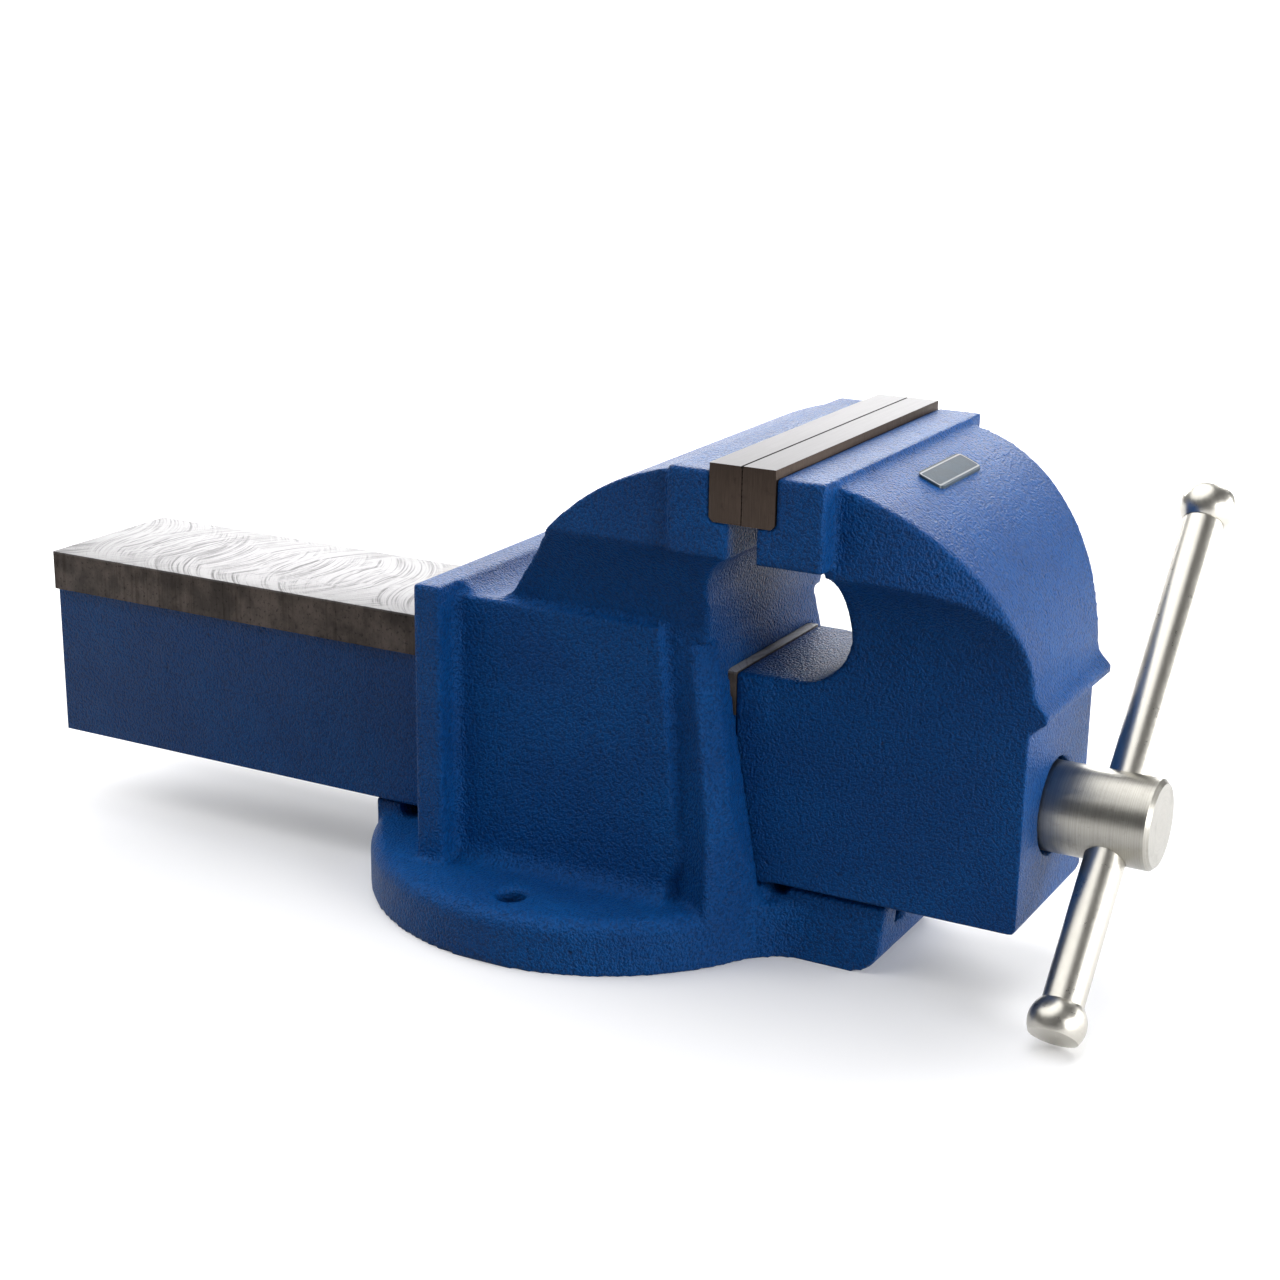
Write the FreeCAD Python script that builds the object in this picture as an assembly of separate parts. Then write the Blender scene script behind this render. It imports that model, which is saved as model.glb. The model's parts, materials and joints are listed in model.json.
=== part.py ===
import FreeCAD, Part
import math
import os

Vector = FreeCAD.Vector

# Bench vise with a fixed jaw on a round base, a sliding jaw on a channel-shaped bar, and a screw with
# a sliding tommy bar. Millimetres. The origin is the centre of the base's underside, +Z is up, +X runs
# along the jaws, and the sliding jaw opens towards -Y. The jaws are modelled closed.

# Jaws and jaw plates
JAW_WIDTH = 150.0
JAW_TOP = 198.0
JAW_BOTTOM = 166.0
JAW_SPLIT = -95.2
PLATE_THICK = 12.9
PLATE_TOP = 201.0
PLATE_BOTTOM = 179.6
PLATE_CHAMFER = 1.6
PLATE_GAP = 0.3
FIXED_JAW_BACK = -65.7
SLIDING_JAW_FRONT = -126.5
JAW_LEDGE = 5.8
PLATE_SCREW_X = 46.0
PLATE_SCREW_Z = 189.5
PLATE_SCREW_R = 4.0
PLATE_SCREW_LENGTH = 24.0
SCREW_HEAD_R = 7.0
HEX_SOCKET = 5.0

# Base
BASE_R = 97.2
BASE_THICK = 22.0
BASE_EDGE = 6.0
BASE_HOLE_R = 6.0
BASE_HOLE_X = 79.0
BASE_HOLE_Y = -3.0
RAIL_TOP = 28.0
RAIL_HALF = 32.5
RAIL_FRONT = -139.0
RAIL_REAR = 93.0
RAIL_SLOT = (10.0, 18.5)
RAIL_SLOT_FLOOR = 17.0

# Fixed jaw body
REAR_WALL_BACK = 49.0
REAR_WALL_THICK = 12.0
REAR_WALL_TOP = 136.0
REAR_WALL_HALF = 67.0
BODY_HALF = 71.5
WALL_HALF = 51.0
PAD_PROUD = 3.8
WALL_FOOT_R = 8.0
WALL_END_R = 4.0
FRONT_TOP_Y = -71.0
FRONT_TOP_Z = 127.0
FRONT_FOOT_Y = -94.0

# Slide of the sliding jaw
SLIDE_REAR = 262.0
SLIDE_TOP = 112.8
FLANGE_HALF = 37.0
FLANGE_THICK = 17.2
SLIDE_HALF = 34.5
SLIDE_BOTTOM = 29.0
SLIDE_WALL = 10.0
SLIDE_ROOF = 97.0
GUIDE_GAP = 0.3

# Front of the sliding jaw
FACE_Y = -191.4
FACE_INNER_Y = -168.0
NOSE_HALF = 36.4
ARCH_HALF = 65.0
HEAD_REAR = -72.0
THROAT_R = 22.0
THROAT_FRONT = -122.6

# Screw, on an axis along Y
SCREW_Z = 69.75
HEAD_R = 17.2
HEAD_FRONT = -231.4
HEAD_CHAMFER = 1.6
HEAD_BACK = -186.9
COUNTERBORE_R = 18.6
COUNTERBORE_FLOOR = -184.4
JOURNAL_R = 13.0
JOURNAL_GAP = 0.06
THREAD_R = 12.5
THREAD_ROOT_R = 10.5
THREAD_START = -140.0
SCREW_END = 245.0
WASHER_R = 17.5
WASHER_THICK = 2.4
SPRING_WIRE_WIDE = 3.0
SPRING_WIRE_THICK = 1.6
SPRING_R = 15.2
SPRING_TURNS = 4.0
END_WASHER_THICK = 2.0
COLLAR_R = 20.0
COLLAR_LENGTH = 12.0
COLLAR_PIN_R = 3.0

# Nut
NUT_HALF = 18.0
NUT_FRONT = -32.0
NUT_REAR = 36.0
NUT_TOP = 86.0
NUT_BORE_GAP = 0.35
NUT_SCREW_Y = (-16.0, 20.0)
NUT_SCREW_R = 5.0
NUT_SCREW_TOP = 48.0
NUT_COUNTERBORE_R = 9.5
NUT_COUNTERBORE = 11.0
NUT_HEAD_R = 8.0
NUT_HEAD_HEIGHT = 6.5
NUT_WASHER_THICK = 2.0
DOWEL_R = 3.0
DOWEL_X = 12.0

# Tommy bar
BAR_Y = -214.9
BAR_TILT = 42.9
BAR_R = 7.7
BAR_HOLE_GAP = 0.1
KNOB_R = 10.7
KNOB_UP = 133.7
KNOB_DOWN = 80.8
KNOB_FLAT = 0.52
KNOB_NECK = 0.66

# Blank plate on the arch
BADGE_X = 0.0
BADGE_Y = -142.9
BADGE_LENGTH = 41.0
BADGE_WIDTH = 9.8
BADGE_THICK = 0.8


def on_plane(plane, first, second, offset):
    """Point with two sketch coordinates, and the third one along the sketch's normal."""
    if plane == "YZ":
        return Vector(offset, first, second)
    if plane == "XZ":
        return Vector(first, offset, second)
    return Vector(first, second, offset)


def prism(plane, low, high, start, *steps):
    """Outline of straight steps (end) and arcs (via, end), closed to its start, pushed low to high."""
    edges = []
    here = start
    for step in steps + (start,):
        is_arc = isinstance(step[0], tuple)
        end = step[1] if is_arc else step
        tail = on_plane(plane, *here, low)
        head = on_plane(plane, *end, low)
        if is_arc:
            via = on_plane(plane, *step[0], low)
            edges.append(Part.Arc(tail, via, head).toShape())
        else:
            edges.append(Part.makeLine(tail, head))
        here = end
    face = Part.Face(Part.Wire(edges))
    return face.extrude(on_plane(plane, 0.0, 0.0, high - low))


def box(x_range, y_range, z_range):
    """Box between two corners."""
    size = [high - low for low, high in (x_range, y_range, z_range)]
    return Part.makeBox(*size, Vector(x_range[0], y_range[0], z_range[0]))


def along_y(radius, low, high, x=0.0, z=SCREW_Z):
    """Cylinder along Y."""
    return Part.makeCylinder(radius, high - low, Vector(x, low, z), Vector(0, 1, 0))


def along_z(radius, low, high, x, y):
    """Cylinder along Z."""
    return Part.makeCylinder(radius, high - low, Vector(x, y, low))


def hex_prism(across, depth, base, axis):
    """Hexagonal prism, measured across its flats, from base along axis."""
    corner = across / math.sqrt(3.0)
    points = []
    for step in range(7):
        turn = math.radians(60.0 * step)
        points.append(Vector(corner * math.cos(turn), corner * math.sin(turn), 0))
    solid = Part.Face(Part.makePolygon(points)).extrude(Vector(0, 0, depth))
    turned = FreeCAD.Placement(base, FreeCAD.Rotation(Vector(0, 0, 1), axis))
    return solid.transformed(turned.toMatrix())


def edges_at(shape, test):
    """Edges whose two ends and middle all pass a test."""
    found = []
    for edge in shape.Edges:
        middle = edge.valueAt((edge.FirstParameter + edge.LastParameter) / 2.0)
        points = [vertex.Point for vertex in edge.Vertexes] + [middle]
        if all(test(point) for point in points):
            found.append(edge)
    return found


def mirrored(shape):
    """The same shape on the other side of X = 0."""
    return shape.mirror(Vector(0, 0, 0), Vector(1, 0, 0))


def plate_screw_holes(front, back):
    """Two plain holes through a jaw for its plate's screws."""
    holes = [along_y(PLATE_SCREW_R + 0.05, front, back, x, PLATE_SCREW_Z)
             for x in (-PLATE_SCREW_X, PLATE_SCREW_X)]
    return holes


def base_disc():
    """Round foot with a rounded upper edge."""
    disc = Part.makeCylinder(BASE_R, BASE_THICK)
    rim = edges_at(disc, lambda point: point.z > BASE_THICK - 0.01)
    return disc.makeFillet(BASE_EDGE, rim)


def guide_rail():
    """Rail under the slide, with a rounded front foot and a notch near its rear end."""
    notch_front = REAR_WALL_BACK + 23.0
    notch_rear = notch_front + 8.0
    notch_floor = RAIL_TOP - 12.0
    return prism(
        "YZ", -RAIL_HALF, RAIL_HALF,
        (RAIL_REAR, 0.0), (RAIL_REAR, RAIL_TOP), (notch_rear, RAIL_TOP), (notch_rear, notch_floor),
        (notch_front, notch_floor), (notch_front, RAIL_TOP), (RAIL_FRONT, RAIL_TOP),
        (RAIL_FRONT + 2.0, 12.0), ((RAIL_FRONT + 5.0, 4.0), (RAIL_FRONT + 12.0, 0.0)))


def rail_flare():
    """Sweep in plan from the rail's side out to the base disc's edge."""
    start_y = -109.0
    meet_x = 46.0
    meet_y = -math.sqrt(BASE_R ** 2 - meet_x ** 2)
    side = prism(
        "XY", 0.0, BASE_THICK,
        (RAIL_HALF - 1.0, start_y), (RAIL_HALF, start_y),
        ((RAIL_HALF + 3.4, start_y + 13.5), (meet_x, meet_y)), (meet_x, meet_y + 12.0),
        (RAIL_HALF - 1.0, meet_y + 12.0))
    return [side, mirrored(side)]


def body_side_view():
    """Side outline of the fixed jaw: rear wall, dip, sweep up to the jaw, throat and front face."""
    rear_front = REAR_WALL_BACK - REAR_WALL_THICK
    plate_back = JAW_SPLIT + PLATE_THICK
    ledge = JAW_SPLIT + JAW_LEDGE
    return prism(
        "YZ", -BODY_HALF, BODY_HALF,
        (REAR_WALL_BACK, 0.0), (REAR_WALL_BACK, REAR_WALL_TOP), (rear_front, REAR_WALL_TOP),
        ((24.0, 130.4), (9.5, 139.5)), (-12.0, 165.5),
        ((-33.5, 183.8), (FIXED_JAW_BACK, JAW_TOP - 1.5)), (plate_back, JAW_TOP - 1.5),
        (plate_back, PLATE_BOTTOM), (ledge, PLATE_BOTTOM), (ledge, JAW_BOTTOM),
        ((-77.0, 156.5), (-73.0, 143.0)), (FRONT_TOP_Y, FRONT_TOP_Z), (FRONT_FOOT_Y, 0.0))


def body_front_view():
    """Front outline of the fixed jaw: narrow walls that sweep out in a cove to the jaw's width."""
    cove_top = JAW_BOTTOM + 1.0
    cove_foot = 131.5
    mid_x = WALL_HALF + 9.5
    mid_z = 152.5
    return prism(
        "XZ", FRONT_FOOT_Y, REAR_WALL_BACK,
        (-WALL_HALF, 0.0), (-WALL_HALF, cove_foot), ((-mid_x, mid_z), (-BODY_HALF, cove_top)),
        (-BODY_HALF, JAW_TOP), (BODY_HALF, JAW_TOP), (BODY_HALF, cove_top),
        ((mid_x, mid_z), (WALL_HALF, cove_foot)), (WALL_HALF, 0.0))


def side_pads():
    """Low raised panels on the outside of the two walls."""
    low = WALL_HALF - 1.0
    high = WALL_HALF + PAD_PROUD
    corner = 14.0
    pad = prism(
        "YZ", low, high,
        (REAR_WALL_BACK - 6.0, 12.0), (REAR_WALL_BACK - 6.0, 131.0), (-52.5, 131.0),
        (-62.0, 28.0 + corner), ((-59.0, 31.5), (-62.0 + corner, 26.0)), (-20.0, 12.0))
    return [pad, mirrored(pad)]


def wall_fillets():
    """Hollow rounds where the walls meet the base, and where they meet the rear wall."""
    wall = WALL_HALF + PAD_PROUD
    inside = WALL_HALF - 1.0
    rear = REAR_WALL_BACK - REAR_WALL_THICK
    sag = 1.0 - math.sqrt(0.5)
    floor = BASE_THICK
    foot = prism(
        "XZ", -58.0, rear + 1.0,
        (inside, floor - 2.0), (wall + WALL_FOOT_R, floor - 2.0), (wall + WALL_FOOT_R, floor),
        ((wall + WALL_FOOT_R * sag, floor + WALL_FOOT_R * sag), (wall, floor + WALL_FOOT_R)),
        (inside, floor + WALL_FOOT_R))
    end = prism(
        "XY", floor - 2.0, 129.0,
        (inside, rear + 1.0), (wall + WALL_END_R, rear + 1.0), (wall + WALL_END_R, rear),
        ((wall + WALL_END_R * sag, rear - WALL_END_R * sag), (wall, rear - WALL_END_R)),
        (inside, rear - WALL_END_R))
    return [foot, mirrored(foot), end, mirrored(end)]


def front_pilasters():
    """Front edges of the two walls, flared, and leaning forward towards the base."""
    foot = ((RAIL_HALF, FRONT_FOOT_Y), (60.0, FRONT_FOOT_Y), (67.0, -87.0), (57.5, -73.0), (51.0, -61.0),
            (RAIL_HALF, -56.0))
    top = ((RAIL_HALF, FRONT_TOP_Y), (43.5, FRONT_TOP_Y), (50.5, -64.5), (50.6, -62.0), (50.8, -59.0),
           (RAIL_HALF, -56.0))
    sections = []
    for outline, height in ((foot, 0.0), (top, 126.0)):
        corners = [Vector(x, y, height) for x, y in outline]
        sections.append(Part.makePolygon(corners + corners[:1]))
    flare = Part.makeLoft(sections, True, True)
    flare = flare.common(Part.makeCylinder(BASE_R, 130.0))
    return [flare, mirrored(flare)]


def wall_corners():
    """Upright wedges that take the walls' front corners off, so that the pilasters shape them."""
    wedge = prism("XY", 0.0, 126.0, (RAIL_HALF + 6.0, -60.0), (80.0, -60.0), (80.0, -110.0),
                  (RAIL_HALF + 6.0, -110.0))
    return Part.makeCompound([wedge, mirrored(wedge)])


def fixed_body():
    """One casting: base, guide rail, walls, rear wall and fixed jaw."""
    jaw_front = JAW_SPLIT + JAW_LEDGE
    plate_back = JAW_SPLIT + PLATE_THICK
    half = JAW_WIDTH / 2.0
    jaw = box((-half, half), (plate_back, FIXED_JAW_BACK), (JAW_BOTTOM, JAW_TOP))
    ledge = box((-half, half), (jaw_front, FIXED_JAW_BACK), (JAW_BOTTOM, PLATE_BOTTOM))
    rear_wall = box((-REAR_WALL_HALF, REAR_WALL_HALF),
                    (REAR_WALL_BACK - REAR_WALL_THICK, REAR_WALL_BACK), (0.0, REAR_WALL_TOP))
    body = body_side_view().common(body_front_view()).cut(wall_corners())
    pieces = [body, jaw, ledge, rear_wall, guide_rail()]
    pieces += front_pilasters() + side_pads() + wall_fillets() + rail_flare()
    casting = base_disc().multiFuse(pieces).removeSplitter()
    guide_half = FLANGE_HALF + GUIDE_GAP
    cuts = [
        box((-guide_half, guide_half), (-160.0, 300.0), (RAIL_TOP, SLIDE_TOP + GUIDE_GAP)),
        prism("YZ", -24.0, 24.0, (-58.0, 100.0), (-58.0, 160.0), (-44.0, 160.0), (-14.0, 134.0),
              (-14.0, 100.0)),
    ]
    cuts += plate_screw_holes(-100.0, -66.0 + 6.0)
    cuts.append(box((-40.0, 40.0), (-98.0, FRONT_FOOT_Y + 5.3), (RAIL_TOP - 3.0, RAIL_TOP + 1.0)))
    rail_slot = box(RAIL_SLOT, (RAIL_FRONT - 1.0, -112.0), (RAIL_SLOT_FLOOR, RAIL_TOP + 1.0))
    cuts += [rail_slot, mirrored(rail_slot)]
    for x in (-BASE_HOLE_X, BASE_HOLE_X):
        cuts.append(along_z(BASE_HOLE_R, -1.0, BASE_THICK + 20.0, x, BASE_HOLE_Y))
    for y in NUT_SCREW_Y:
        cuts.append(along_z(NUT_SCREW_R + 0.5, -1.0, RAIL_TOP + 1.0, 0.0, y))
        cuts.append(along_z(NUT_COUNTERBORE_R, -1.0, NUT_COUNTERBORE, 0.0, y))
    for x in (-DOWEL_X, DOWEL_X):
        cuts.append(along_z(DOWEL_R, RAIL_TOP - 10.0, RAIL_TOP + 1.0, x, nut_middle()))
    return casting.cut(Part.makeCompound(cuts)).removeSplitter()


def nut_middle():
    """Middle of the nut along the screw."""
    return (NUT_FRONT + NUT_REAR) / 2.0


def jaw_side_view():
    """Side outline of the sliding jaw's head: nose, lip, arch, jaw step, and the throat behind."""
    plate_back = JAW_SPLIT - PLATE_THICK
    ledge = JAW_SPLIT - JAW_LEDGE
    sag = THROAT_R * (1.0 - math.sqrt(0.5))
    return prism(
        "YZ", -ARCH_HALF, ARCH_HALF,
        (HEAD_REAR, 30.3), (-187.9, 30.3), ((-190.2, 31.2), (FACE_Y + 0.3, 33.8)), (FACE_Y, 107.5),
        (-196.0, 111.6), ((-198.0, 114.4), (-196.4, 117.6)), ((-193.3, 121.4), (-192.3, 127.0)),
        ((-171.2, 170.6), (SLIDING_JAW_FRONT, 195.6)), (plate_back, 195.6), (plate_back, PLATE_BOTTOM),
        (ledge, PLATE_BOTTOM), (ledge, JAW_BOTTOM), (THROAT_FRONT, JAW_BOTTOM),
        (THROAT_FRONT, SLIDE_TOP + THROAT_R),
        ((THROAT_FRONT + sag, SLIDE_TOP + sag), (THROAT_FRONT + THROAT_R, SLIDE_TOP)),
        (HEAD_REAR, SLIDE_TOP))


def jaw_plan():
    """Outline of the sliding jaw from above: straight behind, rounding in to the nose."""
    nose_y = -193.0
    round_start = -135.0
    return prism(
        "XY", 20.0, 200.0,
        (-ARCH_HALF, HEAD_REAR), (-ARCH_HALF, round_start), ((-57.6, -165.0), (-NOSE_HALF, nose_y)),
        (-NOSE_HALF, -200.0), (NOSE_HALF, -200.0), (NOSE_HALF, nose_y),
        ((57.6, -165.0), (ARCH_HALF, round_start)), (ARCH_HALF, HEAD_REAR))


def cove_middle(foot, top):
    """Middle of the arc that leaves an upright wall at foot and sweeps outwards to top."""
    reach = top[0] - foot[0]
    rise = top[1] - foot[1]
    radius = (reach ** 2 + rise ** 2) / (2.0 * reach)
    half_turn = math.atan2(rise, radius - reach) / 2.0
    return (foot[0] + radius * (1.0 - math.cos(half_turn)), foot[1] + radius * math.sin(half_turn))


def jaw_front_view():
    """Front outline of the sliding jaw: nose width below, swept out in a cove to the arch's width."""
    cove_top = 162.5
    cove_foot = 122.0
    mid_x, mid_z = cove_middle((NOSE_HALF, cove_foot), (ARCH_HALF, cove_top))
    return prism(
        "XZ", -200.0, HEAD_REAR,
        (-NOSE_HALF, 20.0), (-NOSE_HALF, cove_foot), ((-mid_x, mid_z), (-ARCH_HALF, cove_top)),
        (-ARCH_HALF, 200.0), (ARCH_HALF, 200.0), (ARCH_HALF, cove_top),
        ((mid_x, mid_z), (NOSE_HALF, cove_foot)), (NOSE_HALF, 20.0))


def sliding_jaw():
    """One casting: sliding jaw, nose that holds the screw, and the channel-shaped slide behind."""
    half = JAW_WIDTH / 2.0
    plate_back = JAW_SPLIT - PLATE_THICK
    ledge = JAW_SPLIT - JAW_LEDGE
    head = jaw_side_view().common(jaw_plan()).common(jaw_front_view())
    jaw = box((-half, half), (SLIDING_JAW_FRONT, plate_back), (JAW_BOTTOM, JAW_TOP))
    foot = box((-half, half), (SLIDING_JAW_FRONT, ledge), (JAW_BOTTOM, PLATE_BOTTOM))
    flange = box((-FLANGE_HALF, FLANGE_HALF), (-90.0, SLIDE_REAR),
                 (SLIDE_TOP - FLANGE_THICK, SLIDE_TOP))
    channel = box((-SLIDE_HALF, SLIDE_HALF), (-90.0, SLIDE_REAR),
                  (SLIDE_BOTTOM, SLIDE_TOP - FLANGE_THICK + 1.0))
    casting = head.multiFuse([jaw, foot, flange, channel]).removeSplitter()
    inner = SLIDE_HALF - SLIDE_WALL
    hollow = prism(
        "XZ", FACE_INNER_Y, SLIDE_REAR + 10.0,
        (-inner, 0.0), (-inner, SLIDE_ROOF - 8.0), ((-inner + 2.4, SLIDE_ROOF - 2.4),
                                                    (-inner + 8.0, SLIDE_ROOF)),
        (inner - 8.0, SLIDE_ROOF), ((inner - 2.4, SLIDE_ROOF - 2.4), (inner, SLIDE_ROOF - 8.0)),
        (inner, 0.0))
    bore = along_y(JOURNAL_R + JOURNAL_GAP, FACE_Y - 10.0, FACE_INNER_Y + 1.0)
    counterbore = along_y(COUNTERBORE_R, FACE_Y - 10.0, COUNTERBORE_FLOOR)
    cuts = [hollow, bore, counterbore] + plate_screw_holes(SLIDING_JAW_FRONT - 6.0, -90.0)
    return casting.cut(Part.makeCompound(cuts)).removeSplitter()


def plain_plate(face, inward):
    """Hardened plate whose lower edge is bevelled at the back."""
    half = JAW_WIDTH / 2.0
    back = JAW_SPLIT + inward * PLATE_THICK
    return prism(
        "YZ", -half, half,
        (face, PLATE_TOP), (back, PLATE_TOP), (back, PLATE_BOTTOM + PLATE_CHAMFER),
        (back - inward * PLATE_CHAMFER, PLATE_BOTTOM), (face, PLATE_BOTTOM))


def jaw_plate(face, inward):
    """Jaw plate with holes for its screws, whose heads sit below the gripping face."""
    plate = plain_plate(face, inward)
    for x in (-PLATE_SCREW_X, PLATE_SCREW_X):
        base = Vector(x, face, PLATE_SCREW_Z)
        axis = Vector(0, inward, 0)
        through = Part.makeCylinder(PLATE_SCREW_R + 0.3, PLATE_THICK, base, axis)
        sink = Part.makeCylinder(SCREW_HEAD_R + 0.3, 6.0, base, axis)
        plate = plate.cut(through).cut(sink)
    return plate


def plate_screw(x, face, inward):
    """Socket-head screw, set 1 mm below the plate's face."""
    head_depth = 5.0
    axis = Vector(0, inward, 0)
    top = Vector(x, face + inward, PLATE_SCREW_Z)
    head = Part.makeCylinder(SCREW_HEAD_R, head_depth, top, axis)
    shank = Part.makeCylinder(PLATE_SCREW_R, PLATE_SCREW_LENGTH, top, axis)
    socket = hex_prism(HEX_SOCKET, 3.0, top, axis)
    return head.fuse(shank).cut(socket)


def plate_screws(face, inward):
    """Both screws of one jaw plate."""
    return Part.makeCompound([plate_screw(x, face, inward) for x in (-PLATE_SCREW_X, PLATE_SCREW_X)])


def main_nut():
    """Nut block that stands on the guide rail inside the slide's hollow."""
    block = box((-NUT_HALF, NUT_HALF), (NUT_FRONT, NUT_REAR), (RAIL_TOP, NUT_TOP))
    block = block.makeChamfer(3.0, edges_at(block, lambda point: point.z > NUT_TOP - 0.01))
    cuts = [along_y(THREAD_R + NUT_BORE_GAP, NUT_FRONT - 1.0, NUT_REAR + 1.0)]
    for y in NUT_SCREW_Y:
        cuts.append(along_z(NUT_SCREW_R, RAIL_TOP - 1.0, NUT_SCREW_TOP + 2.0, 0.0, y))
    for x in (-DOWEL_X, DOWEL_X):
        cuts.append(along_z(DOWEL_R, RAIL_TOP - 1.0, RAIL_TOP + 10.0, x, nut_middle()))
    return block.cut(Part.makeCompound(cuts))


def nut_screw(y):
    """Hexagon-head screw, up through the base into the nut."""
    seat = NUT_COUNTERBORE - NUT_WASHER_THICK
    head = hex_prism(2.0 * NUT_HEAD_R * 0.97, NUT_HEAD_HEIGHT, Vector(0, y, seat - NUT_HEAD_HEIGHT),
                     Vector(0, 0, 1))
    return head.fuse(along_z(NUT_SCREW_R, seat, NUT_SCREW_TOP, 0.0, y))


def nut_washer(y):
    """Plain washer under a nut screw's head."""
    low = NUT_COUNTERBORE - NUT_WASHER_THICK
    ring = along_z(NUT_COUNTERBORE_R - 0.5, low, NUT_COUNTERBORE, 0.0, y)
    return ring.cut(along_z(NUT_SCREW_R + 0.3, low - 1.0, NUT_COUNTERBORE + 1.0, 0.0, y))


def nut_dowels():
    """Two dowels that stop the nut from turning."""
    low = RAIL_TOP - 10.0
    high = RAIL_TOP + 10.0
    return Part.makeCompound([along_z(DOWEL_R, low, high, x, nut_middle()) for x in (-DOWEL_X, DOWEL_X)])


def bar_direction():
    """Unit vector along the tommy bar, towards its upper end."""
    tilt = math.radians(BAR_TILT)
    return Vector(math.sin(tilt), 0.0, math.cos(tilt))


def bar_point(distance):
    """Point on the tommy bar's axis, counted from the screw's axis towards the upper end."""
    return Vector(0.0, BAR_Y, SCREW_Z) + bar_direction() * distance


def main_screw():
    """Head with a cross hole, journal, and the long threaded shank."""
    head = along_y(HEAD_R, HEAD_FRONT, HEAD_BACK)
    rim = edges_at(head, lambda point: point.y < HEAD_FRONT + 0.01)
    head = head.makeChamfer(HEAD_CHAMFER, rim)
    journal = along_y(JOURNAL_R, HEAD_BACK, THREAD_START)
    shank = along_y(THREAD_R, THREAD_START, SCREW_END)
    tip = edges_at(shank, lambda point: point.y > SCREW_END - 0.01)
    shank = shank.makeChamfer(THREAD_R - THREAD_ROOT_R, tip)
    hole = Part.makeCylinder(BAR_R + BAR_HOLE_GAP, 60.0, bar_point(-30.0), bar_direction())
    pin_hole = Part.makeCylinder(COLLAR_PIN_R, 60.0, Vector(0, collar_middle(), SCREW_Z - 30.0))
    return head.multiFuse([journal, shank]).removeSplitter().cut(hole).cut(pin_hole)


def washer(outer, low, thick):
    """Flat ring round the screw's journal."""
    ring = along_y(outer, low, low + thick)
    return ring.cut(along_y(JOURNAL_R + 0.1, low - 1.0, low + thick + 1.0))


def spring_low():
    """Front end of the take-up spring."""
    return FACE_INNER_Y + 0.3 + END_WASHER_THICK


def spring_high():
    """Rear end of the take-up spring."""
    return collar_front() - 0.1


def collar_front():
    """Front face of the retaining collar."""
    return THREAD_START - COLLAR_LENGTH


def collar_middle():
    """Middle of the retaining collar along the screw."""
    return collar_front() + COLLAR_LENGTH / 2.0


def take_up_spring():
    """Short open coil of flat wire that keeps the screw's head against the jaw."""
    half_wide = SPRING_WIRE_WIDE / 2.0
    half_thick = SPRING_WIRE_THICK / 2.0
    start = spring_low() + half_thick + 0.05
    height = spring_high() - half_thick - 0.05 - start
    helix = Part.makeHelix(height / SPRING_TURNS, height, SPRING_R)
    corners = [Vector(SPRING_R + side * half_wide, 0, end * half_thick)
               for side, end in ((-1, -1), (1, -1), (1, 1), (-1, 1))]
    section = Part.makePolygon(corners + corners[:1])
    coil = Part.Wire(helix.Edges).makePipeShell([section], True, True)
    placed = FreeCAD.Placement(Vector(0, start, SCREW_Z), FreeCAD.Rotation(Vector(1, 0, 0), -90.0))
    return coil.transformed(placed.toMatrix())


def retaining_collar():
    """Ring pinned to the screw behind the front wall."""
    ring = along_y(COLLAR_R, collar_front(), THREAD_START)
    ends = edges_at(ring, lambda point: abs(point.y - collar_middle()) > COLLAR_LENGTH / 2.0 - 0.01)
    ring = ring.makeChamfer(1.0, ends)
    hole = Part.makeCylinder(COLLAR_PIN_R, 60.0, Vector(0, collar_middle(), SCREW_Z - 30.0))
    return ring.cut(along_y(JOURNAL_R, collar_front() - 1.0, THREAD_START + 1.0)).cut(hole)


def collar_pin():
    """Cross pin through the collar and the screw."""
    reach = COLLAR_R - 0.6
    return Part.makeCylinder(COLLAR_PIN_R, 2.0 * reach, Vector(0, collar_middle(), SCREW_Z - reach))


def handle_bar():
    """Plain round bar with a short spigot at each end for the knobs."""
    low = -KNOB_DOWN + KNOB_NECK * KNOB_R
    high = KNOB_UP - KNOB_NECK * KNOB_R
    spigot_r = BAR_R - 2.0
    bar = Part.makeCylinder(BAR_R, high - low, bar_point(low), bar_direction())
    spigot = Part.makeCylinder(spigot_r, high - low + 12.0, bar_point(low - 6.0), bar_direction())
    return bar.fuse(spigot).removeSplitter()


def knob(distance, outward):
    """Turned ball with a flat outer end, bored for the bar's spigot."""
    centre = bar_point(distance)
    axis = bar_direction() * outward
    low = -KNOB_NECK * KNOB_R
    high = KNOB_FLAT * KNOB_R
    ball = Part.makeSphere(KNOB_R, centre)
    slab = Part.makeCylinder(2.0 * KNOB_R, high - low, centre + axis * low, axis)
    spigot = Part.makeCylinder(BAR_R - 2.0, 6.0, centre + axis * low, axis)
    return ball.common(slab).cut(spigot)


def blank_badge():
    """Thin blank plate that follows the arch of the sliding jaw."""
    arch = jaw_side_view()
    lifted = arch.translated(Vector(0.0, -BADGE_THICK * 0.4, BADGE_THICK))
    stamp = box((BADGE_X - BADGE_LENGTH / 2.0, BADGE_X + BADGE_LENGTH / 2.0),
                (BADGE_Y - BADGE_WIDTH / 2.0, BADGE_Y + BADGE_WIDTH / 2.0), (170.0, 210.0))
    stamp = stamp.makeFillet(3.0, edges_at(stamp, is_corner(stamp)))
    return lifted.cut(arch).common(stamp)


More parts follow.
